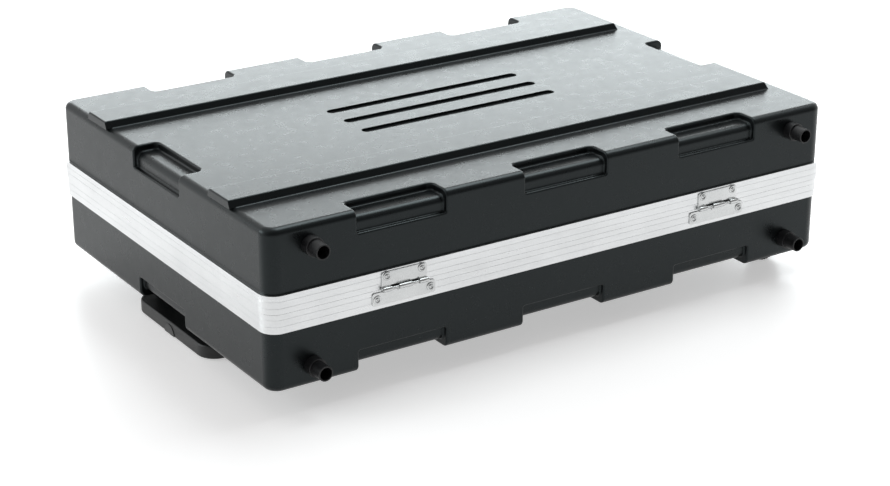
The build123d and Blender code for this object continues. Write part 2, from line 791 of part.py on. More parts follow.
def make_tow_handle():
    half = carrier_width / 2
    carrier = block(carrier_x_low, carrier_x_high, -half, half, floor_z, -base_depth)
    carrier = fillet(carrier.faces().sort_by(Axis.Z)[0].edges(), carrier_edge)
    hollow_half = tube_spread / 2 - tube_width / 2 - carrier_wall
    carrier -= block(
        carrier_x_low + carrier_wall, carrier_x_high - carrier_wall, -hollow_half, hollow_half,
        floor_z + carrier_wall, -base_depth + 1,
    )
    clamp_low = tube_x_low + 6.0
    clamp = block(clamp_low, clamp_low + clamp_length, -half, half, floor_z, -base_depth)
    clamp = fillet(clamp.faces().sort_by(Axis.Z)[0].edges(), carrier_edge)
    for side in (-1, 1):
        y = side * tube_spread / 2
        carrier -= tube_channel(carrier_x_low - 1, tube_x_high, y, 0)
        carrier -= tube_channel(tube_x_high - 1, carrier_x_high + 1, y, -tube_wall)
        clamp -= tube_channel(clamp_low - 1, clamp_low + clamp_length + 1, y, 0)
    add("tow_handle_carrier", carrier)
    add("tube_clamp", clamp)
    inner_width = tube_width - 2 * tube_wall - 2 * tube_clear
    inner_height = tube_height - 2 * tube_wall - 2 * tube_clear
    inner_high = grip_back_x + grip_socket
    inner_low = tube_x_low + 4.0
    tube_places = (tube_spread / 2, -tube_spread / 2)
    add("outer_tubes", *[
        tube(tube_x_low, tube_x_high, y, tube_width, tube_height, tube_wall) for y in tube_places
    ])
    add("inner_tubes", *[
        tube(inner_low, inner_high, y, inner_width, inner_height, inner_tube_wall) for y in tube_places
    ])
    half_grip = grip_length / 2
    low = floor_z + grip_clear_floor
    high = low + grip_height
    grip = block(grip_back_x, grip_face_x, -half_grip, half_grip, low, high)
    corners = grip.edges().filter_by(Axis.Z).group_by(Axis.X)[-1]
    grip = fillet(corners, grip_corner)
    grip = fillet(grip.faces().sort_by(Axis.Z)[-1].edges(), grip_edge)
    grip = fillet(grip.faces().sort_by(Axis.Z)[0].edges(), grip_edge)
    for side in (-1, 1):
        y = side * tube_spread / 2
        half_w = inner_width / 2
        half_h = inner_height / 2
        grip -= block(grip_back_x - 1, inner_high, y - half_w, y + half_w, tube_z - half_h, tube_z + half_h)
    centre_z = low + button_lift
    back = grip_face_x - button_length
    pocket_back = back - button_travel - button_clear
    cavity = rod_x(pocket_back, grip_face_x + 1, 0, centre_z, button_radius + button_clear)
    cavity &= block(pocket_back, grip_face_x + 1, -20, 20, centre_z, high)
    grip -= cavity
    spring_z = centre_z + button_radius / 2
    spring_back = pocket_back - button_spring_seat
    grip -= rod_x(spring_back, pocket_back + 1, 0, spring_z, button_spring_radius + button_clear)
    add("tow_grip", grip)
    button = rod_x(back, grip_face_x + button_stand, 0, centre_z, button_radius)
    keep = centre_z + button_clear
    button &= block(back, grip_face_x + button_stand, -20, 20, keep, high)
    add("release_button", button)
    spring = rod_x(spring_back, back, 0, spring_z, button_spring_radius)
    spring -= rod_x(spring_back - 1, back + 1, 0, spring_z, button_spring_radius - button_spring_wire)
    add("button_spring", spring)


def make_wheels():
    wheel_x = -shell_face_x + wheel_setback
    wheel_z = floor_z + wheel_radius
    well_top = -base_depth + well_height
    x_high = -shell_face_x + well_length
    axles = []
    for name, side in (("back", 1), ("front", -1)):
        y = side * wheel_y
        half = well_width / 2
        inside = half - cheek_thick
        housing = block(-shell_face_x, x_high, y - half, y + half, -base_depth, well_top)
        housing += rod_y(wheel_x, y - half, y + half, wheel_z, cheek_tab)
        x_back = x_high - cheek_thick
        housing -= block(
            -shell_face_x - 1, x_back, y - inside, y + inside,
            -base_depth - 20, well_top - cheek_thick,
        )
        housing -= rod_y(wheel_x, y - half - 1, y + half + 1, wheel_z, axle_radius + running_clear)
        add(f"wheel_housing_{name}", housing)
        axles.append(rod_y(wheel_x, y - half, y + half, wheel_z, axle_radius))
        hub = rod_y(wheel_x, y - hub_width / 2, y + hub_width / 2, wheel_z, hub_radius)
        dish = rod_y(wheel_x, y + 5, y + 20, wheel_z, hub_radius - 3)
        dish += rod_y(wheel_x, y - 20, y - 5, wheel_z, hub_radius - 3)
        dish -= rod_y(wheel_x, y - 21, y + 21, wheel_z, axle_radius + 4)
        hub -= dish
        hub -= rod_y(wheel_x, y - 20, y + 20, wheel_z, axle_radius + running_clear)
        add(f"wheel_hub_{name}", hub)
        tyre = rod_y(wheel_x, y - wheel_width / 2, y + wheel_width / 2, wheel_z, wheel_radius)
        ends = [face for face in tyre.faces() if face.geom_type == GeomType.PLANE]
        tyre = fillet([face.edges()[0] for face in ends], 4.0)
        tyre -= rod_y(wheel_x, y - 20, y + 20, wheel_z, hub_radius)
        add(f"wheel_tyre_{name}", tyre)
    add("wheel_axles", *axles)


def make_foam():
    side = inner_inset + band_leg + foam_clear
    lid_top = lid_height - shell_wall - foam_clear
    drop = pocket_height + shell_wall + foam_clear
    reach = band_stand + pocket_reach + shell_wall + foam_clear
    flute_room = flute_depth + foam_clear
    lid_foam = outline_block(reach, lid_top - lid_foam_thick, lid_top - flute_room)
    add("lid_foam", lid_foam)
    floor_low = -base_depth + shell_wall + foam_clear
    floor_high = floor_low + floor_foam_thick
    floor = outline_block(reach, floor_low, floor_high)
    for step in (-1, 1):
        floor -= wheel_well(step, shell_wall + foam_clear)
    add("floor_foam", floor)
    low = max(floor_high, -base_depth + drop) + foam_clear
    low = max(low, -base_depth + well_height + shell_wall + foam_clear)
    high = -foam_below_seam - band_web
    x = half_length - side
    y = half_depth - side
    t = wall_foam_thick
    add("foam_wall_back", block(-x + 12, x - 12, y - t, y, low, high))
    add("foam_wall_front", block(-x + 12, x - 12, -y, -y + t, low, high))
    y_end = y - t - foam_clear
    add("foam_wall_left", block(x - t, x, -y_end, y_end, low, high))
    add("foam_wall_right", block(-x, -x + t, -y_end, y_end, low, high))


add("lid_shell", make_lid_shell())
add("base_shell", make_base_shell())
make_bands()
make_feet()
make_hinges()
front_lid_rivets = make_latches()
front_lid_rivets += make_lock()
add("lid_front_rivets", *front_lid_rivets)
add("handle_rivets", *make_carry_handle())
make_tow_handle()
make_wheels()
make_foam()

boxes = [shape.bounding_box() for shape in nodes.values()]
low = [min(tuple(box.min)[axis] for box in boxes) for axis in range(3)]
high = [max(tuple(box.max)[axis] for box in boxes) for axis in range(3)]
shift = Pos(-(low[0] + high[0]) / 2, -(low[1] + high[1]) / 2, -low[2])
print("box", [round(value, 2) for value in low], [round(value, 2) for value in high])
print("nodes", len(nodes))
for name, shape in nodes.items():
    export_step(shift * shape, f"parts/{name}.step")
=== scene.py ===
import json
import math

import bmesh
import bpy
from mathutils import Matrix, Vector


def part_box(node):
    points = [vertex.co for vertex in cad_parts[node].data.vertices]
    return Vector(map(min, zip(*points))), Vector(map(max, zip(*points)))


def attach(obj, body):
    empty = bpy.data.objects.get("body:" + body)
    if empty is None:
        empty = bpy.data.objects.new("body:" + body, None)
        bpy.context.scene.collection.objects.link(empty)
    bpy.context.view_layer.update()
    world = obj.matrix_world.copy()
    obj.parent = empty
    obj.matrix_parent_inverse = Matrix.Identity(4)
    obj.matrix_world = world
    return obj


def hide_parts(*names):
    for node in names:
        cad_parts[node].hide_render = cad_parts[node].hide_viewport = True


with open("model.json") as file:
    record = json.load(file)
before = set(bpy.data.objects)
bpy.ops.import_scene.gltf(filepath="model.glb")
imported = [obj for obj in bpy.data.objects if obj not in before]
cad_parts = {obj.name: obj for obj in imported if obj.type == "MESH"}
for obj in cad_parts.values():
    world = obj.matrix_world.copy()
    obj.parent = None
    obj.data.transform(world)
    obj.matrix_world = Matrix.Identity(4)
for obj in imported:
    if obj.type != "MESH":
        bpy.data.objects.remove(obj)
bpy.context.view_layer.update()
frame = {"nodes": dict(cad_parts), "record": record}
nodes = frame["nodes"]
scene = bpy.context.scene
scene.view_settings.view_transform = "Standard"
print("case loaded", len(nodes), "pieces")


# camera, where the picture was taken from: near the hinge side, 22 degrees up
cameraSettings = {
    "place": (1.50188, 2.29113, 1.15533),
    "azimuth": 33.257,
    "elevation": 22.196,
    "roll": 0.072,
    "lens": 88.05,
    "sensor": 36,
}


def makeCamera(s):
    az, el, roll = (math.radians(s[k]) for k in ("azimuth", "elevation", "roll"))
    look = Vector((-math.sin(az) * math.cos(el), -math.cos(az) * math.cos(el), -math.sin(el)))
    right = Vector((-math.cos(az), math.sin(az), 0))
    up = right.cross(look)
    rightTurned = math.cos(roll) * right + math.sin(roll) * up
    upTurned = math.cos(roll) * up - math.sin(roll) * right
    data = bpy.data.cameras.new("caseCamera")
    data.lens = s["lens"]
    data.sensor_width = s["sensor"]
    camera = bpy.data.objects.new("caseCamera", data)
    turn = Matrix((rightTurned, upTurned, -look)).transposed().to_4x4()
    camera.matrix_world = Matrix.Translation(s["place"]) @ turn
    scene.collection.objects.link(camera)
    scene.camera = camera


makeCamera(cameraSettings)


# small helpers for node trees and meshes

weldGap = 0.000002
white = (1, 1, 1)


def addNode(tree, kind, **values):
    node = tree.nodes.new(kind)
    for key, value in values.items():
        setattr(node, key, value)
    return node


def plug(tree, source, output, target, slotName):
    tree.links.new(source.outputs[output], target.inputs[slotName])


def newObject(name, mesh):
    piece = bpy.data.objects.new(name, mesh)
    scene.collection.objects.link(piece)
    return piece


def fromBmesh(name, bm, smooth=True):
    bmesh.ops.recalc_face_normals(bm, faces=bm.faces[:])
    mesh = bpy.data.meshes.new(name)
    bm.to_mesh(mesh)
    bm.free()
    mesh.polygons.foreach_set("use_smooth", [smooth] * len(mesh.polygons))
    return newObject(name, mesh)


def weldedCopy(name):
    # a CAD node's mesh is loose triangles, so its corners are joined in a copy
    bm = bmesh.new()
    bm.from_mesh(nodes[name].data)
    bmesh.ops.remove_doubles(bm, verts=bm.verts[:], dist=weldGap)
    return bm


def plainObject(name, bm):
    mesh = bpy.data.meshes.new(name)
    bm.to_mesh(mesh)
    bm.free()
    return newObject(name, mesh)


def smoothAll(piece):
    piece.data.polygons.foreach_set("use_smooth", [True] * len(piece.data.polygons))


def paint(piece, mat):
    piece.data.materials.clear()
    piece.data.materials.append(mat)


def middleOf(name):
    low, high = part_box(name)
    return (low + high) / 2


def bevelAll(bm, width, segments):
    bmesh.ops.bevel(bm, geom=bm.edges[:], offset=width, segments=segments, affect="EDGES")


def addBlock(bm, size, centre=None):
    made = bmesh.ops.create_cube(bm, size=1)["verts"]
    bmesh.ops.scale(bm, vec=size, verts=made)
    if centre:
        bmesh.ops.translate(bm, vec=centre, verts=made)
    return made


def bake(piece, name=None):
    # the evaluated result becomes a plain mesh, with no modifier left
    depsgraph = bpy.context.evaluated_depsgraph_get()
    mesh = bpy.data.meshes.new_from_object(piece.evaluated_get(depsgraph))
    piece.modifiers.clear()
    piece.data = mesh
    if name:
        piece.name = name
        mesh.name = name
    return piece


def placeOn(piece, body, slot, *replaced):
    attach(piece, body)
    if replaced:
        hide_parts(*replaced)
    return piece


# finishes, all from nodes on object coordinates

finishes = {
    "shellPlastic": {
        "dark": (0.0040, 0.0046, 0.0050), "light": (0.0062, 0.0072, 0.0076),
        "rough": (0.26, 0.31), "ior": 1.37, "metal": 0, "tint": (0.84, 0.97, 1.0),
        "cell": 700, "grain": 1700, "bump": 0.30, "depth": 0.00014, "lines": 0,
        "marks": (55, 55, 55),
    },
    "bandAluminium": {
        "dark": (0.68, 0.69, 0.695), "light": (0.75, 0.76, 0.765),
        "rough": (0.27, 0.36), "ior": 1.45, "metal": 1,
        "cell": 0, "grain": 500, "bump": 0.05, "depth": 0.0001, "lines": 1700,
    },
    "platedSteel": {
        "dark": (0.50, 0.51, 0.51), "light": (0.64, 0.65, 0.65),
        "rough": (0.16, 0.28), "ior": 1.45, "metal": 1,
        "cell": 0, "grain": 900, "bump": 0.04, "depth": 0.0001, "lines": 0,
    },
    "brightSteel": {
        "dark": (0.62, 0.62, 0.63), "light": (0.80, 0.80, 0.81),
        "rough": (0.14, 0.24), "ior": 1.45, "metal": 1,
        "cell": 0, "grain": 700, "bump": 0.03, "depth": 0.0001, "lines": 0,
    },
    "footRubber": {
        "dark": (0.006, 0.006, 0.007), "light": (0.012, 0.012, 0.013),
        "rough": (0.38, 0.55), "ior": 1.47, "metal": 0,
        "cell": 0, "grain": 1800, "bump": 0.12, "depth": 0.0001, "lines": 0,
    },
    "gripRubber": {
        "dark": (0.007, 0.007, 0.008), "light": (0.013, 0.013, 0.014),
        "rough": (0.45, 0.62), "ior": 1.47, "metal": 0,
        "cell": 1400, "grain": 2400, "bump": 0.20, "depth": 0.0001, "lines": 0,
    },
    "blackNylon": {
        "dark": (0.006, 0.0065, 0.007), "light": (0.011, 0.0115, 0.012),
        "rough": (0.36, 0.50), "ior": 1.48, "metal": 0,
        "cell": 1100, "grain": 2000, "bump": 0.15, "depth": 0.0001, "lines": 0,
    },
    "buttonPlastic": {
        "dark": (0.009, 0.009, 0.010), "light": (0.014, 0.014, 0.015),
        "rough": (0.28, 0.38), "ior": 1.49, "metal": 0,
        "cell": 0, "grain": 2200, "bump": 0.08, "depth": 0.0001, "lines": 0,
    },
    "tubeAluminium": {
        "dark": (0.66, 0.67, 0.69), "light": (0.78, 0.79, 0.80),
        "rough": (0.24, 0.38), "ior": 1.45, "metal": 1,
        "cell": 0, "grain": 600, "bump": 0.04, "depth": 0.0001, "lines": 1500,
    },
    "tyreRubber": {
        "dark": (0.010, 0.010, 0.011), "light": (0.020, 0.020, 0.021),
        "rough": (0.60, 0.80), "ior": 1.47, "metal": 0,
        "cell": 0, "grain": 1500, "bump": 0.25, "depth": 0.0002, "lines": 0,
    },
    "hubPlastic": {
        "dark": (0.045, 0.046, 0.048), "light": (0.065, 0.066, 0.068),
        "rough": (0.38, 0.52), "ior": 1.49, "metal": 0,
        "cell": 900, "grain": 1800, "bump": 0.10, "depth": 0.0001, "lines": 0,
    },
    "blackScrew": {
        "dark": (0.030, 0.030, 0.032), "light": (0.055, 0.055, 0.058),
        "rough": (0.26, 0.40), "ior": 1.45, "metal": 1,
        "cell": 0, "grain": 1600, "bump": 0.05, "depth": 0.0001, "lines": 0,
    },
    "lockBrass": {
        "dark": (0.62, 0.44, 0.19), "light": (0.76, 0.57, 0.27),
        "rough": (0.20, 0.34), "ior": 1.45, "metal": 1,
        "cell": 0, "grain": 900, "bump": 0.05, "depth": 0.0001, "lines": 0,
    },
    "greyFoam": {
        "dark": (0.030, 0.031, 0.033), "light": (0.070, 0.071, 0.074),
        "rough": (0.86, 0.97), "ior": 1.30, "metal": 0,
        "cell": 900, "grain": 1500, "bump": 0.9, "depth": 0.0009, "lines": 0,
    },
}


finishPattern = {
    "cloudScale": 14, "cloudDetail": 5, "cloudPart": 0.65,
    "fineDetail": 3, "finePart": 0.35,
    "darkUpTo": 0.36, "lightFrom": 0.64,
    "rubStretch": (18, 18, 160), "rubDetail": 6, "rubRange": (0.3, 0.7),
    "lineStretch": 5, "lineDetail": 2,
}


def addNoise(tree, coords, scale, detail):
    noise = addNode(tree, "ShaderNodeTexNoise", noise_dimensions="3D")
    noise.inputs["Scale"].default_value = scale
    noise.inputs["Detail"].default_value = detail
    plug(tree, coords[0], coords[1], noise, "Vector")
    return noise


def addStretch(tree, coords, scale):
    stretch = addNode(tree, "ShaderNodeMapping")
    stretch.inputs["Scale"].default_value = scale
    plug(tree, coords, "Object", stretch, "Vector")
    return stretch, "Vector"


def makeFinish(name, s, p):
    mat = bpy.data.materials.new(name)
    mat.use_nodes = True
    tree = mat.node_tree
    shader = tree.nodes["Principled BSDF"]
    shader.inputs["Metallic"].default_value = s["metal"]
    shader.inputs["IOR"].default_value = s["ior"]
    shader.inputs["Specular Tint"].default_value = (*s.get("tint", white), 1)
    coords = addNode(tree, "ShaderNodeTexCoord")

    # slow cloudy change of colour and gloss
    cloud = addNoise(tree, (coords, "Object"), p["cloudScale"], p["cloudDetail"])
    fine = addNoise(tree, (coords, "Object"), s["grain"], p["fineDetail"])
    blend = addNode(tree, "ShaderNodeMath", operation="MULTIPLY_ADD")
    blend.inputs[1].default_value = p["finePart"]
    plug(tree, fine, "Fac", blend, 0)
    cloudShare = addNode(tree, "ShaderNodeMath", operation="MULTIPLY")
    cloudShare.inputs[1].default_value = p["cloudPart"]
    plug(tree, cloud, "Fac", cloudShare, 0)
    plug(tree, cloudShare, 0, blend, 2)
    ramp = addNode(tree, "ShaderNodeValToRGB")
    ramp.color_ramp.elements[0].position = p["darkUpTo"]
    ramp.color_ramp.elements[1].position = p["lightFrom"]
    ramp.color_ramp.elements[0].color = (*s["dark"], 1)
    ramp.color_ramp.elements[1].color = (*s["light"], 1)
    plug(tree, blend, 0, ramp, "Fac")
    plug(tree, ramp, "Color", shader, "Base Color")

    # gloss, with faint rub marks, drawn out sideways on all but the shells
    marks = addStretch(tree, coords, s.get("marks", p["rubStretch"]))
    rub = addNoise(tree, marks, 1, p["rubDetail"])
    gloss = addNode(tree, "ShaderNodeMapRange")
    gloss.inputs["From Min"].default_value = p["rubRange"][0]
    gloss.inputs["From Max"].default_value = p["rubRange"][1]
    gloss.inputs["To Min"].default_value = s["rough"][0]
    gloss.inputs["To Max"].default_value = s["rough"][1]
    plug(tree, rub, "Fac", gloss, "Value")
    plug(tree, gloss, "Result", shader, "Roughness")

    # relief: moulded cells, fine grain, or drawn lines round the band
    height = fine
    heightOut = "Fac"
    if s["cell"]:
        cells = addNode(tree, "ShaderNodeTexVoronoi", feature="SMOOTH_F1")
        cells.inputs["Scale"].default_value = s["cell"]
        plug(tree, coords, "Object", cells, "Vector")
        both = addNode(tree, "ShaderNodeMath", operation="ADD")
        plug(tree, cells, "Distance", both, 0)
        plug(tree, fine, "Fac", both, 1)
        height, heightOut = both, 0
    if s["lines"]:
        along = addStretch(tree, coords, (p["lineStretch"], p["lineStretch"], s["lines"]))
        height, heightOut = addNoise(tree, along, 1, p["lineDetail"]), "Fac"
    relief = addNode(tree, "ShaderNodeBump")
    relief.inputs["Strength"].default_value = s["bump"]
    relief.inputs["Distance"].default_value = s["depth"]
    plug(tree, height, heightOut, relief, "Height")
    plug(tree, relief, "Normal", shader, "Normal")
    return mat


finish = {name: makeFinish(name, s, finishPattern) for name, s in finishes.items()}
print("finishes made", len(finish))

slotFinish = {
    "black_polyethylene": "shellPlastic",
    "aluminium_band": "bandAluminium",
    "plated_steel": "platedSteel",
    "bright_steel": "brightSteel",
    "foot_rubber": "footRubber",
    "grip_rubber": "gripRubber",
    "black_nylon": "blackNylon",
    "button_plastic": "buttonPlastic",
    "tube_aluminium": "tubeAluminium",
    "wheel_tyre": "tyreRubber",
    "hub_plastic": "hubPlastic",
    "black_screw": "blackScrew",
    "lock_brass": "lockBrass",
    "grey_foam": "greyFoam",
}
nodeSlot = {part["node"]: part["material_slot"] for part in frame["record"]["subparts"]}
for name, node in nodes.items():
    paint(node, finish[slotFinish[nodeSlot[name]]])
bodyOf = {}
for body, members in frame["record"]["behaviour"]["bodies"].items():
    for name in members:
        bodyOf[name] = body


# stamped and cast pieces get their edges broken, as copies of the CAD shapes
edgeBreaks = {
    "latch_plate_left": 0.0005, "latch_plate_right": 0.0005,
    "latch_lever_left": 0.0008, "latch_lever_right": 0.0008,
    "latch_bail_left": 0.0004, "latch_bail_right": 0.0004,
    "latch_keeper_left": 0.0004, "latch_keeper_right": 0.0004,
    "lock_hasp": 0.0005, "lock_body": 0.0007,
    "handle_bracket_left": 0.0006, "handle_bracket_right": 0.0006,
    "hinge_leaf_upper_left": 0.0004, "hinge_leaf_upper_right": 0.0004,
    "hinge_leaf_lower_left": 0.0004, "hinge_leaf_lower_right": 0.0004,
    "tube_clamp": 0.0008, "tow_handle_carrier": 0.0010,
    "wheel_housing_back": 0.0008, "wheel_housing_front": 0.0008,
    "carry_handle_bar": 0.0010,
}


edgeSettings = {
    "flat": math.radians(0.6),
    "broken": math.radians(38),
    "sharp": math.radians(32),
    "segments": 3,
}


def breakEdges(name, width, s):
    bm = weldedCopy(name)
    bmesh.ops.dissolve_limit(bm, angle_limit=s["flat"], verts=bm.verts[:], edges=bm.edges[:])
    piece = plainObject(name + "_shaped", bm)
    bevel = piece.modifiers.new("edge", "BEVEL")
    bevel.width = width
    bevel.segments = s["segments"]
    bevel.limit_method = "ANGLE"
    bevel.angle_limit = s["broken"]
    bevel.harden_normals = False
    bake(piece)
    smoothAll(piece)
    piece.data.set_sharp_from_angle(angle=s["sharp"])
    paint(piece, nodes[name].data.materials[0])
    placeOn(piece, bodyOf[name], nodeSlot[name], name)


for name, width in edgeBreaks.items():
    breakEdges(name, width, edgeSettings)
print("edges broken on", len(edgeBreaks), "pieces")


# Geometry Nodes trees

repeatSharp = math.radians(35)


def newTree(name, sockets):
    tree = bpy.data.node_groups.new(name, "GeometryNodeTree")
    tree.interface.new_socket(name="Geometry", in_out="INPUT", socket_type="NodeSocketGeometry")
    for label, kind in sockets:
        tree.interface.new_socket(name=label, in_out="INPUT", socket_type=kind)
    tree.interface.new_socket(name="Geometry", in_out="OUTPUT", socket_type="NodeSocketGeometry")
    return tree, addNode(tree, "NodeGroupInput"), addNode(tree, "NodeGroupOutput")


def closeTree(tree, source, output, given, end):
    # every tree ends in real geometry with its material set
    real = addNode(tree, "GeometryNodeRealizeInstances")
    coat = addNode(tree, "GeometryNodeSetMaterial")
    plug(tree, source, output, real, "Geometry")
    plug(tree, real, "Geometry", coat, "Geometry")
    plug(tree, given, "Finish", coat, "Material")
    plug(tree, coat, "Geometry", end, "Geometry")


def runTree(name, tree, carrier, values):
    modifier = carrier.modifiers.new("nodes", "NODES")
    modifier.node_group = tree
    for item in tree.interface.items_tree:
        if item.in_out == "INPUT" and item.name in values:
            modifier[item.identifier] = values[item.name]
    bake(carrier, name)
    carrier.data.set_sharp_from_angle(angle=repeatSharp)
    return carrier


def pointCloud(name, points, facing):
    # one vertex for each place, with the way it faces
    mesh = bpy.data.meshes.new(name)
    mesh.from_pydata(points, [], [])
    way = mesh.attributes.new("facing", "FLOAT_VECTOR", "POINT")
    way.data.foreach_set("vector", [c for v in facing for c in v])
    return newObject(name, mesh)


def lathe(name, profile, steps):
    # profile is (radius, height) from the bottom to the top; a radius of 0 is a pole
    bm = bmesh.new()
    rings = []
    for radius, height in profile:
        if not radius:
            rings.append([bm.verts.new((0, 0, height))])
            continue
        ring = []
        for i in range(steps):
            a = 2 * math.pi * i / steps
            ring.append(bm.verts.new((radius * math.cos(a), radius * math.sin(a), height)))
        rings.append(ring)
    for lower, upper in zip(rings, rings[1:]):
        for i in range(steps):
            j = (i + 1) % steps
            if len(lower) == 1:
                bm.faces.new((lower[0], upper[j], upper[i]))
            elif len(upper) == 1:
                bm.faces.new((lower[i], lower[j], upper[0]))
            else:
                bm.faces.new((lower[i], lower[j], upper[j], upper[i]))
    return fromBmesh(name, bm)


headTree, given, end = newTree("headsOnPoints", [
    ("Head", "NodeSocketObject"), ("Finish", "NodeSocketMaterial"),
])
headInfo = addNode(headTree, "GeometryNodeObjectInfo")
onPoints = addNode(headTree, "GeometryNodeInstanceOnPoints")
wayFound = addNode(headTree, "GeometryNodeInputNamedAttribute", data_type="FLOAT_VECTOR")
wayFound.inputs["Name"].default_value = "facing"
turned = addNode(headTree, "FunctionNodeAlignRotationToVector", axis="Z")
plug(headTree, given, "Head", headInfo, "Object")
plug(headTree, given, "Geometry", onPoints, "Points")
plug(headTree, headInfo, "Geometry", onPoints, "Instance")
plug(headTree, wayFound, "Attribute", turned, "Vector")
plug(headTree, turned, "Rotation", onPoints, "Rotation")
closeTree(headTree, onPoints, "Instances", given, end)


# rivets: a domed head with a rolled rim, one mesh for each group
rivetSettings = {
    "radius": 0.0029,
    "dome": 0.0013,
    "rim": 0.0004,
    "bore": 0.0009,
    "sunk": 0.0002,
    "steps": 28,
    "domeSteps": 8,
}


def rivetHead(s):
    # domed head with the small hole that its mandrel leaves
    r, h, rim, bore = s["radius"], s["dome"], s["rim"], s["bore"]
    profile = [(0, -s["sunk"]), (r, -s["sunk"]), (r, rim * 0.5), (r - rim * 0.25, rim)]
    for i in range(1, s["domeSteps"]):
        a = math.pi / 2 * i / s["domeSteps"]
        radius = (r - rim * 0.9) * math.cos(a)
        if radius > bore * 1.2:
            profile.append((radius, rim + (h - rim) * math.sin(a)))
    profile += [(bore, h * 0.97), (bore * 0.9, h * 0.45), (0, h * 0.35)]
    return lathe("rivetHead", profile, s["steps"])


def solidsOf(name):
    # boxes of the separate solids in one CAD node
    bm = weldedCopy(name)
    left = set(bm.verts)
    boxes = []
    while left:
        stack = [left.pop()]
        found = []
        while stack:
            v = stack.pop()
            found.append(v.co.copy())
            for e in v.link_edges:
                other = e.other_vert(v)
                if other in left:
                    left.remove(other)
                    stack.append(other)
        low = Vector([min(p[i] for p in found) for i in range(3)])
        high = Vector([max(p[i] for p in found) for i in range(3)])
        boxes.append((low, high))
    bm.free()
    return boxes


def setOnRivets(name, side, head, made):
    # side is the way the rivets face along Y
    points = []
    for low, high in solidsOf(name):
        middle = (low + high) / 2
        points.append((middle.x, low.y if side > 0 else high.y, middle.z))
    cloud = pointCloud(made + "_places", points, [(0, side, 0)] * len(points))
    return runTree(made, headTree, cloud, {"Head": head, "Finish": finish["platedSteel"]})


rivetGroups = {
    "lid_hinge_rivets": 1,
    "base_hinge_rivets": 1,
    "lid_front_rivets": -1,
    "latch_plate_rivets": -1,
    "handle_rivets": -1,
}
head = rivetHead(rivetSettings)
for name, side in rivetGroups.items():
    heads = setOnRivets(name, side, head, name + "_heads")
    placeOn(heads, bodyOf[name], "plated_steel", name)
bpy.data.objects.remove(head)
print("rivets set on", len(rivetGroups), "groups")


# hinge dimples: the leaf is pressed up round its rivets
dimpleSettings = {
    "outer": 0.0056,
    "rise": 0.0011,
    "inner": 0.0034,
    "sunk": 0.0002,
    "dish": 0.0001,
    "steps": 36,
}


def makeDimples(s):
    # a raised ring with a dish in it, where the rivet sits
    outer, inner, rise = s["outer"], s["inner"], s["rise"]
    profile = [
        (0, -s["sunk"]), (outer, -s["sunk"]), (outer - 0.0002, rise * 0.55),
        (outer - 0.0007, rise * 0.92), (outer - 0.0012, rise), (inner + 0.0004, rise * 0.96),
        (inner, rise * 0.7), (inner - 0.0003, s["dish"]), (0, s["dish"]),
    ]
    dimple = lathe("leafDimple", profile, s["steps"])
    for body in ("lid", "base"):
        rings = setOnRivets(body + "_hinge_rivets", 1, dimple, body + "_hinge_dimples")
        placeOn(rings, body, "plated_steel")
    bpy.data.objects.remove(dimple)


makeDimples(dimpleSettings)


# seam shade: a thin dark strip of painted shade, standing in for the shade in the gap between the
# two bands
seamShadeSettings = {
    "low": -0.0007,
    "high": 0.0,
    "proud": 0.00006,
    "sunk": 0.001,
    "radius": 0.021,
    "steps": 10,
}


def outlineLoop(lowX, highX, lowY, highY, radius, steps):
    points = []
    corners = ((highX, highY, 0), (lowX, highY, 90), (lowX, lowY, 180), (highX, lowY, 270))
    for x, y, start in corners:
        cx = x - radius if x == highX else x + radius
        cy = y - radius if y == highY else y + radius
        for i in range(steps + 1):
            a = math.radians(start + 90 * i / steps)
            points.append((cx + radius * math.cos(a), cy + radius * math.sin(a)))
    return points


def makeSeamShade(s):
    low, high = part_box("base_valance")
    out, back = s["proud"], -s["sunk"]
    loops = []
    for grow, z in ((out, s["low"]), (out, s["high"]), (back, s["high"]), (back, s["low"])):
        sides = (low.x - grow, high.x + grow, low.y - grow, high.y + grow)
        ring = outlineLoop(*sides, s["radius"] + grow, s["steps"])
        loops.append([(x, y, z + seamHeight) for x, y in ring])
    bm = bmesh.new()
    rings = [[bm.verts.new(point) for point in loop] for loop in loops]
    count = len(rings[0])
    for a, b in zip(rings, rings[1:] + rings[:1]):
        for i in range(count):
            j = (i + 1) % count
            bm.faces.new((a[i], a[j], b[j], b[i]))
    strip = fromBmesh("seam_strip", bm, smooth=False)
    # the dark rubber finish here is painted shade, not a real rubber strip
    strip.data.materials.append(finish["footRubber"])
    placeOn(strip, "base", "foot_rubber")


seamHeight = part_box("lid_valance")[0].z
makeSeamShade(seamShadeSettings)


# painted shade: a dark plate in the recess behind each hinge pin, standing in for the shade there
hingeShadeSettings = {
    "half": 0.0192,
    "height": 0.0030,
    "deep": 0.00165,
    "thick": 0.0005,
    "edge": 0.0001,
}


def makeHingeShades(s):
    for body, leaf, up in (("lid", "upper", 1), ("base", "lower", -1)):
        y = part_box("hinge_leaf_" + leaf + "_left")[0].y - s["deep"] + s["thick"] / 2
        z = seamHeight + up * s["height"] / 2
        bm = bmesh.new()
        for side in ("left", "right"):
            x = middleOf("hinge_pin_" + side).x
            addBlock(bm, (s["half"] * 2, s["thick"], s["height"]), (x, y, z))
        bevelAll(bm, s["edge"], 1)
        shadePlate = fromBmesh(body + "_hinge_lining", bm, smooth=False)
        # the dark rubber finish paints the shade in the recess behind the pin
        shadePlate.data.materials.append(finish["footRubber"])
        placeOn(shadePlate, body, "foot_rubber")


makeHingeShades(hingeShadeSettings)
# the seam strip and the dark hinge plates made here are painted shade, not linings
print("hinge dimples, seam and linings made")


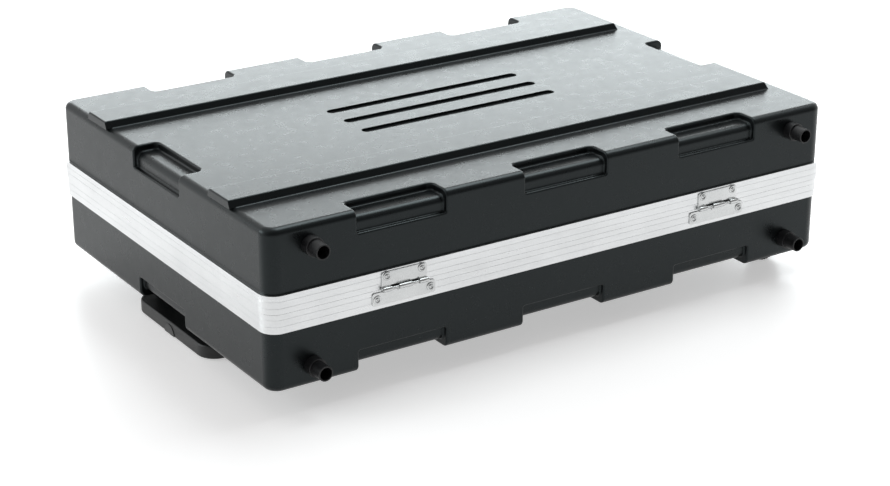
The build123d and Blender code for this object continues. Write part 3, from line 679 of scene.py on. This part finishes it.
# wheels: a crowned tyre with cross grooves and a moulded spoke hub
wheelSettings = {
    "crown": 0.0005,
    "shoulder": 0.0028,
    "lip": 0.002,
    "sideWall": 0.006,
    "treadSteps": 7,
    "steps": 72,
    "grooveDepth": 0.0016,
    "barCount": 44,
    "barWidth": 0.0029,
    "barLong": 1.28,
    "barEdge": 0.0004,
    "barSunk": 0.0001,
    "spokes": 6,
    "spokeSize": (0.0115, 0.0030, 0.0048),
    "spokeReach": 0.0120,
    "spokeIn": 0.0042,
    "spokeEdge": 0.0005,
}

ringTree, given, end = newTree("barsRoundWheel", [
    ("Bar", "NodeSocketObject"), ("Count", "NodeSocketInt"), ("Radius", "NodeSocketFloat"),
    ("Finish", "NodeSocketMaterial"),
])
circle = addNode(ringTree, "GeometryNodeMeshCircle")
barInfo = addNode(ringTree, "GeometryNodeObjectInfo")
onCircle = addNode(ringTree, "GeometryNodeInstanceOnPoints")
outward = addNode(ringTree, "GeometryNodeInputPosition")
barTurn = addNode(ringTree, "FunctionNodeAlignRotationToVector", axis="X")
both = addNode(ringTree, "GeometryNodeJoinGeometry")
plug(ringTree, given, "Count", circle, "Vertices")
plug(ringTree, given, "Radius", circle, "Radius")
plug(ringTree, given, "Bar", barInfo, "Object")
plug(ringTree, circle, "Mesh", onCircle, "Points")
plug(ringTree, barInfo, "Geometry", onCircle, "Instance")
plug(ringTree, outward, "Position", barTurn, "Vector")
plug(ringTree, barTurn, "Rotation", onCircle, "Rotation")
plug(ringTree, given, "Geometry", both, "Geometry")
plug(ringTree, onCircle, "Instances", both, "Geometry")
closeTree(ringTree, both, "Geometry", given, end)


def standUp(piece, centre):
    # from the lathe's own axis to the axle, which runs along Y
    piece.data.transform(Matrix.Translation(centre) @ Matrix.Rotation(math.radians(90), 4, "X"))


def makeTyre(name, s):
    low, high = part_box(name)
    radius, half = (high.x - low.x) / 2, (high.y - low.y) / 2
    hubLow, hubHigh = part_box(name.replace("tyre", "hub"))
    inner = (hubHigh.x - hubLow.x) / 2
    base = radius - s["grooveDepth"]
    lip, wall = inner + s["lip"], radius - s["sideWall"]
    profile = [(inner, -half * 0.92), (lip, -half), (wall, -half * 0.97)]
    for i in range(s["treadSteps"]):
        t = -1 + 2 * i / (s["treadSteps"] - 1)
        profile.append((base - s["shoulder"] * t ** 4 - s["crown"] * t * t, half * 0.86 * t))
    profile += [(wall, half * 0.97), (lip, half), (inner, half * 0.92), (inner, -half * 0.92)]
    body = lathe(name + "_tread", profile, s["steps"])
    bm = bmesh.new()
    addBlock(bm, (s["grooveDepth"] * 2, s["barWidth"], half * s["barLong"]))
    bevelAll(bm, s["barEdge"], 2)
    bar = fromBmesh("treadBar", bm)
    values = {
        "Bar": bar, "Count": s["barCount"], "Radius": base - s["barSunk"],
        "Finish": finish["tyreRubber"],
    }
    tyre = runTree(name + "_tread", ringTree, body, values)
    bpy.data.objects.remove(bar)
    standUp(tyre, middleOf(name))
    placeOn(tyre, bodyOf[name], "wheel_tyre", name)


for name in ("wheel_tyre_back", "wheel_tyre_front"):
    makeTyre(name, wheelSettings)


def makeHubSpokes(name, s):
    # raised spokes in the dish on both sides of the hub
    low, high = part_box(name)
    out = (high.y - low.y) / 2 - s["spokeIn"]
    bm = bmesh.new()
    for k in range(s["spokes"]):
        turn = Matrix.Rotation(2 * math.pi * k / s["spokes"], 4, "Z")
        for z in (-out, out):
            made = addBlock(bm, s["spokeSize"], (s["spokeReach"], 0, z))
            bmesh.ops.transform(bm, matrix=turn, verts=made)
    bevelAll(bm, s["spokeEdge"], 2)
    spokes = fromBmesh(name + "_spokes", bm)
    spokes.data.materials.append(finish["hubPlastic"])
    standUp(spokes, middleOf(name))
    placeOn(spokes, bodyOf[name], "hub_plastic")


for name in ("wheel_hub_back", "wheel_hub_front"):
    makeHubSpokes(name, wheelSettings)
print("wheels made")


# carry handle grip: ribbed rubber over the bar
gripSettings = {
    "ribs": 15,
    "pitch": 0.0076,
    "ribWidth": 0.0030,
    "ribRise": 0.0009,
    "ribEdge": 0.0007,
    "round": 0.84,
    "steps": 6,
}

lineTree, given, end = newTree("ribsAlongGrip", [
    ("Rib", "NodeSocketObject"), ("Count", "NodeSocketInt"), ("Start", "NodeSocketVector"),
    ("Step", "NodeSocketVector"), ("Finish", "NodeSocketMaterial"),
])
row = addNode(lineTree, "GeometryNodeMeshLine", mode="OFFSET")
ribInfo = addNode(lineTree, "GeometryNodeObjectInfo")
onLine = addNode(lineTree, "GeometryNodeInstanceOnPoints")
withBody = addNode(lineTree, "GeometryNodeJoinGeometry")
plug(lineTree, given, "Count", row, "Count")
plug(lineTree, given, "Start", row, "Start Location")
plug(lineTree, given, "Step", row, "Offset")
plug(lineTree, given, "Rib", ribInfo, "Object")
plug(lineTree, row, "Mesh", onLine, "Points")
plug(lineTree, ribInfo, "Geometry", onLine, "Instance")
plug(lineTree, given, "Geometry", withBody, "Geometry")
plug(lineTree, onLine, "Instances", withBody, "Geometry")
closeTree(lineTree, withBody, "Geometry", given, end)


def roundedTube(bm, halfY, halfZ, lowX, highX, s):
    # closed bar along X with a rounded section
    radius = halfY * s["round"]
    ring = outlineLoop(-halfY, halfY, -halfZ, halfZ, radius, s["steps"])
    ends = []
    for x in (lowX, highX):
        ends.append([bm.verts.new((x, y, z)) for y, z in ring])
    count = len(ring)
    for i in range(count):
        j = (i + 1) % count
        bm.faces.new((ends[0][i], ends[0][j], ends[1][j], ends[1][i]))
    bm.faces.new(ends[0])
    bm.faces.new(ends[1])


def makeGrip(s):
    low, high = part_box("carry_handle_grip")
    centre = (low + high) / 2
    halfY, halfZ = (high.y - low.y) / 2, (high.z - low.z) / 2
    rise, halfRib = s["ribRise"], s["ribWidth"] / 2
    bm = bmesh.new()
    roundedTube(bm, halfY - rise, halfZ - rise, low.x, high.x, s)
    grip = fromBmesh("carry_handle_grip_ribbed", bm)
    bm = bmesh.new()
    roundedTube(bm, halfY, halfZ, -halfRib, halfRib, s)
    caps = [e for e in bm.edges if e.verts[0].co.x * e.verts[1].co.x > 0]
    bmesh.ops.bevel(bm, geom=caps, offset=s["ribEdge"], segments=2, affect="EDGES")
    rib = fromBmesh("gripRib", bm)
    start = -(s["ribs"] - 1) / 2 * s["pitch"]
    values = {
        "Rib": rib, "Count": s["ribs"], "Start": (start, 0, 0), "Step": (s["pitch"], 0, 0),
        "Finish": finish["gripRubber"],
    }
    grip = runTree("carry_handle_grip_ribbed", lineTree, grip, values)
    bpy.data.objects.remove(rib)
    grip.data.transform(Matrix.Translation((0, centre.y, centre.z)))
    placeOn(grip, "carry_handle", "grip_rubber", "carry_handle_grip")


makeGrip(gripSettings)
print("carry handle grip made")


# foam: egg crate in the lid, soft-edged slabs in the base
crateSettings = {"pitch": 0.042, "peak": 0.0075, "cell": 0.0042}

crateTree, given, end = newTree("eggCrate", [
    ("Size X", "NodeSocketFloat"), ("Size Y", "NodeSocketFloat"), ("Count X", "NodeSocketInt"),
    ("Count Y", "NodeSocketInt"), ("Thickness", "NodeSocketFloat"), ("Peak", "NodeSocketFloat"),
    ("Pitch", "NodeSocketFloat"), ("Finish", "NodeSocketMaterial"),
])


def crateMath(operation, *values):
    # one maths step; a value is (node, output) or a number
    node = addNode(crateTree, "ShaderNodeMath", operation=operation)
    for i, value in enumerate(values):
        if isinstance(value, tuple):
            plug(crateTree, value[0], value[1], node, i)
        else:
            node.inputs[i].default_value = value
    return node, 0


slab = addNode(crateTree, "GeometryNodeMeshGrid")
for axis in ("X", "Y"):
    plug(crateTree, given, "Size " + axis, slab, "Size " + axis)
    plug(crateTree, given, "Count " + axis, slab, "Vertices " + axis)
flipped = addNode(crateTree, "GeometryNodeFlipFaces")
raised = addNode(crateTree, "GeometryNodeExtrudeMesh")
raised.inputs["Individual"].default_value = False
closed = addNode(crateTree, "GeometryNodeJoinGeometry")
welded = addNode(crateTree, "GeometryNodeMergeByDistance")
welded.inputs["Distance"].default_value = 5 * weldGap
waved = addNode(crateTree, "GeometryNodeSetPosition")
place = addNode(crateTree, "GeometryNodeInputPosition")
split = addNode(crateTree, "ShaderNodeSeparateXYZ")
joined = addNode(crateTree, "ShaderNodeCombineXYZ")
plug(crateTree, slab, "Mesh", flipped, "Mesh")
plug(crateTree, slab, "Mesh", raised, "Mesh")
plug(crateTree, given, "Thickness", raised, "Offset Scale")
plug(crateTree, flipped, "Mesh", closed, "Geometry")
plug(crateTree, raised, "Mesh", closed, "Geometry")
plug(crateTree, closed, "Geometry", welded, "Geometry")
plug(crateTree, welded, "Geometry", waved, "Geometry")
plug(crateTree, place, "Position", split, "Vector")
turnX = crateMath("DIVIDE", crateMath("MULTIPLY", (split, "X"), 2 * math.pi), (given, "Pitch"))
turnY = crateMath("DIVIDE", crateMath("MULTIPLY", (split, "Y"), 2 * math.pi), (given, "Pitch"))
wave = crateMath("MULTIPLY", crateMath("SINE", turnX), crateMath("SINE", turnY))
drop = crateMath("MULTIPLY", crateMath("SUBTRACT", wave, 1.0), (given, "Peak"))
# the first face of the slab lies at 0, so only its far face is waved
onTop = crateMath("GREATER_THAN", (split, "Z"), 0.001)
shift = crateMath("MULTIPLY", drop, onTop)
plug(crateTree, shift[0], shift[1], joined, "Z")
plug(crateTree, joined, "Vector", waved, "Offset")
closeTree(crateTree, waved, "Geometry", given, end)


def makeCrate(s):
    low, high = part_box("lid_foam")
    sizeX, sizeY = high.x - low.x, high.y - low.y
    carrier = newObject("lid_foam_crate", bpy.data.meshes.new("lid_foam_crate"))
    values = {
        "Size X": sizeX, "Size Y": sizeY, "Count X": round(sizeX / s["cell"]) + 1,
        "Count Y": round(sizeY / s["cell"]) + 1, "Thickness": high.z - low.z, "Peak": s["peak"],
        "Pitch": s["pitch"], "Finish": finish["greyFoam"],
    }
    foam = runTree("lid_foam_crate", crateTree, carrier, values)
    # peaks look down into the case
    centre = (low + high) / 2
    turn = Matrix.Rotation(math.pi, 4, "X")
    foam.data.transform(Matrix.Translation((centre.x, centre.y, high.z)) @ turn)
    smoothAll(foam)
    placeOn(foam, "lid", "grey_foam", "lid_foam")


makeCrate(crateSettings)

slabSettings = {"voxel": 0.007, "floorVoxel": 0.008, "smooth": 6, "factor": 0.5, "shrink": 0.0004}


def makeSlab(name, s):
    piece = plainObject(name + "_soft", weldedCopy(name))
    remesh = piece.modifiers.new("cells", "REMESH")
    remesh.mode = "VOXEL"
    remesh.voxel_size = s["floorVoxel"] if name == "floor_foam" else s["voxel"]
    bake(piece)
    smooth = piece.modifiers.new("soft", "SMOOTH")
    smooth.factor = s["factor"]
    smooth.iterations = s["smooth"]
    bake(piece)
    low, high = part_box(name)
    for v in piece.data.vertices:
        for i in range(3):
            v.co[i] = min(max(v.co[i], low[i] + s["shrink"]), high[i] - s["shrink"])
    smoothAll(piece)
    paint(piece, finish["greyFoam"])
    placeOn(piece, "base", "grey_foam", name)


slabs = ["floor_foam"] + ["foam_wall_" + side for side in ("back", "front", "left", "right")]
for name in slabs:
    makeSlab(name, slabSettings)
print("foam lining made")


# floor and light: pale floor, soft lights behind, above and at the tow grip's side
stageSettings = {
    "floorSize": 40,
    "floorColour": (0.835, 0.805, 0.80),
    "floorRough": 0.34,
    "floorIor": 1.38,
    "floorLift": 0.47,
    "worldLight": 0.50,
    "worldSeen": 1.0,
    "worldDim": 0.22,
    "worldLean": 0.14,
    "dimFrom": -0.25,
    "dimUpTo": 0.75,
}


def makeFloor(s):
    bm = bmesh.new()
    bmesh.ops.create_grid(bm, x_segments=2, y_segments=2, size=s["floorSize"] / 2)
    floor = fromBmesh("floor", bm, smooth=False)
    mat = bpy.data.materials.new("paleFloor")
    mat.use_nodes = True
    tree = mat.node_tree
    shader = tree.nodes["Principled BSDF"]
    shader.inputs["Base Color"].default_value = (*s["floorColour"], 1)
    shader.inputs["Roughness"].default_value = s["floorRough"]
    shader.inputs["IOR"].default_value = s["floorIor"]
    glow = addNode(tree, "ShaderNodeEmission")
    glow.inputs["Strength"].default_value = s["floorLift"]
    path = addNode(tree, "ShaderNodeLightPath")
    seen = addNode(tree, "ShaderNodeMath", operation="MAXIMUM")
    both = addNode(tree, "ShaderNodeAddShader")
    mix = addNode(tree, "ShaderNodeMixShader")
    plug(tree, path, "Is Camera Ray", seen, 0)
    plug(tree, path, "Is Glossy Ray", seen, 1)
    plug(tree, shader, "BSDF", both, 0)
    plug(tree, glow, "Emission", both, 1)
    plug(tree, seen, 0, mix, "Fac")
    plug(tree, shader, "BSDF", mix, 1)
    plug(tree, both, "Shader", mix, 2)
    plug(tree, mix, "Shader", tree.nodes["Material Output"], "Surface")
    floor.data.materials.append(mat)


def makeWorld(s):
    world = bpy.data.worlds.new("studio")
    scene.world = world
    world.use_nodes = True
    tree = world.node_tree
    shader = tree.nodes["Background"]
    shader.inputs["Color"].default_value = (*white, 1)
    path = addNode(tree, "ShaderNodeLightPath")
    seen = addNode(tree, "ShaderNodeMath", operation="MAXIMUM")
    clear = addNode(tree, "ShaderNodeMath", operation="MAXIMUM")
    level = addNode(tree, "ShaderNodeMapRange")
    level.inputs["To Min"].default_value = s["worldLight"]
    level.inputs["To Max"].default_value = s["worldSeen"]
    plug(tree, path, "Is Camera Ray", seen, 0)
    plug(tree, path, "Is Glossy Ray", seen, 1)
    plug(tree, seen, 0, clear, 0)
    plug(tree, path, "Is Transmission Ray", clear, 1)
    plug(tree, clear, 0, level, "Value")

    # the room is darker on the hinge side and a little at the tow grip's side, except as
    # the camera sees it
    coords = addNode(tree, "ShaderNodeTexCoord")
    split = addNode(tree, "ShaderNodeSeparateXYZ")
    room = addNode(tree, "ShaderNodeMapRange", interpolation_type="SMOOTHSTEP")
    room.inputs["From Min"].default_value = s["dimFrom"]
    room.inputs["From Max"].default_value = s["dimUpTo"]
    room.inputs["To Min"].default_value = 1.0
    room.inputs["To Max"].default_value = s["worldDim"]
    plug(tree, coords, "Generated", split, "Vector")
    lean = addNode(tree, "ShaderNodeMath", operation="MULTIPLY_ADD")
    lean.inputs[1].default_value = s["worldLean"]
    plug(tree, split, "X", lean, 0)
    plug(tree, split, "Y", lean, 2)
    plug(tree, lean, 0, room, "Value")
    keep = addNode(tree, "ShaderNodeMath", operation="MAXIMUM")
    plug(tree, path, "Is Camera Ray", keep, 0)
    plug(tree, room, "Result", keep, 1)
    total = addNode(tree, "ShaderNodeMath", operation="MULTIPLY")
    plug(tree, level, "Result", total, 0)
    plug(tree, keep, 0, total, 1)
    plug(tree, total, 0, shader, "Strength")


lampColour = (0.91, 0.985, 1.0)
lampAim = (0, 0, 0.15)
lamps = {
    "backSoftbox": {"place": (-2.2, -3.3, 1.05), "size": (4.4, 1.5), "power": 84},
    "sideSoftbox": {"place": (3.4, -1.8, 1.7), "size": (2.2, 1.6), "power": 36},
    "topSoftbox": {"place": (-1.1, -0.2, 2.9), "size": (1.8, 1.8), "power": 48},
}


def makeLamp(name, s):
    data = bpy.data.lights.new(name, "AREA")
    data.shape = "RECTANGLE"
    data.size, data.size_y = s["size"]
    data.energy = s["power"]
    data.color = lampColour
    lamp = bpy.data.objects.new(name, data)
    lamp.location = s["place"]
    aim = Vector(lampAim) - lamp.location
    lamp.rotation_euler = aim.to_track_quat("-Z", "Y").to_euler()
    scene.collection.objects.link(lamp)


makeFloor(stageSettings)
makeWorld(stageSettings)
for name, s in lamps.items():
    makeLamp(name, s)
print("stage and light set")
